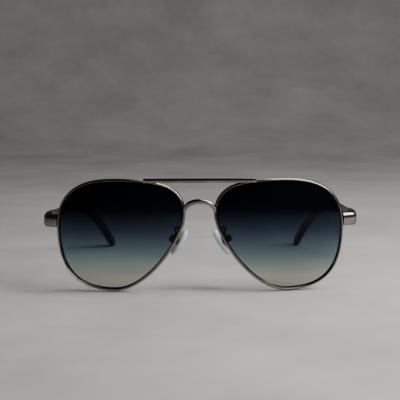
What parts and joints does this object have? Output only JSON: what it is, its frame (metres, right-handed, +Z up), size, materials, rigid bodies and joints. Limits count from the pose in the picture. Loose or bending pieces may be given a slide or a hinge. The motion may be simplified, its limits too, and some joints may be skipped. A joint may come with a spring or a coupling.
{
  "type": "aviator sunglasses",
  "caption": "Metal aviator sunglasses with gradient lenses, a brow bar over an arched bridge, folding temples with curved tips, and rocking nose pads.",
  "frame": {"origin": "on the table, under the centre of the bounding box of the open glasses, which stand on the lower rims and the temple tips", "axes": "+Z up, -Y the way the lenses face, +X the wearer's left"},
  "size_m": [0.146, 0.1374, 0.0533],
  "materials": {
    "gunmetal": "brushed gunmetal plating",
    "dark_steel": "black-nickel plating",
    "lens_tint": "polished, tinted from near black at the top to light grey at the bottom",
    "black_acetate": "polished black",
    "clear_silicone": "clear, satin",
    "pad_core_plastic": "black, smooth"
  },
  "bodies": {
    "front": {"bridge": "gunmetal", "brow_bar": "gunmetal", "rim_left": "gunmetal", "lens_left": "lens_tint", "rim_lock_upper_left": "gunmetal", "rim_lock_lower_left": "gunmetal", "rim_lock_screw_left": "dark_steel", "endpiece_left": "gunmetal", "front_hinge_leaf_left": "gunmetal", "hinge_screw_left": "dark_steel", "pad_arm_left": "dark_steel", "pad_box_left": "dark_steel", "pad_screw_left": "dark_steel", "rim_right": "gunmetal", "lens_right": "lens_tint", "rim_lock_upper_right": "gunmetal", "rim_lock_lower_right": "gunmetal", "rim_lock_screw_right": "dark_steel", "endpiece_right": "gunmetal", "front_hinge_leaf_right": "gunmetal", "hinge_screw_right": "dark_steel", "pad_arm_right": "dark_steel", "pad_box_right": "dark_steel", "pad_screw_right": "dark_steel"},
    "temple_left": {"temple_left": "gunmetal", "temple_hinge_leaf_left": "gunmetal", "temple_tip_left": "black_acetate"},
    "temple_right": {"temple_right": "gunmetal", "temple_hinge_leaf_right": "gunmetal", "temple_tip_right": "black_acetate"},
    "pad_left": {"nose_pad_left": "clear_silicone", "pad_core_left": "pad_core_plastic"},
    "pad_right": {"nose_pad_right": "clear_silicone", "pad_core_right": "pad_core_plastic"}
  },
  "joints": [
    {"name": "temple_fold_left", "type": "hinge", "parent": "front", "child": "temple_left", "pos_m": [0.07025, -0.05049, 0.0332], "axis": [0, 0, 1], "range_deg": [0, 84]},
    {"name": "temple_fold_right", "type": "hinge", "parent": "front", "child": "temple_right", "pos_m": [-0.07025, -0.05049, 0.0332], "axis": [0, 0, 1], "range_deg": [-78, 0]},
    {"name": "pad_rock_left", "type": "hinge", "parent": "front", "child": "pad_left", "pos_m": [0.01278, -0.05726, 0.02392], "axis": [0.2065, 0.9703, 0.126], "range_deg": [-10, 10]},
    {"name": "pad_rock_right", "type": "hinge", "parent": "front", "child": "pad_right", "pos_m": [-0.01278, -0.05726, 0.02392], "axis": [-0.2065, 0.9703, 0.126], "range_deg": [-10, 10]}
  ]
}
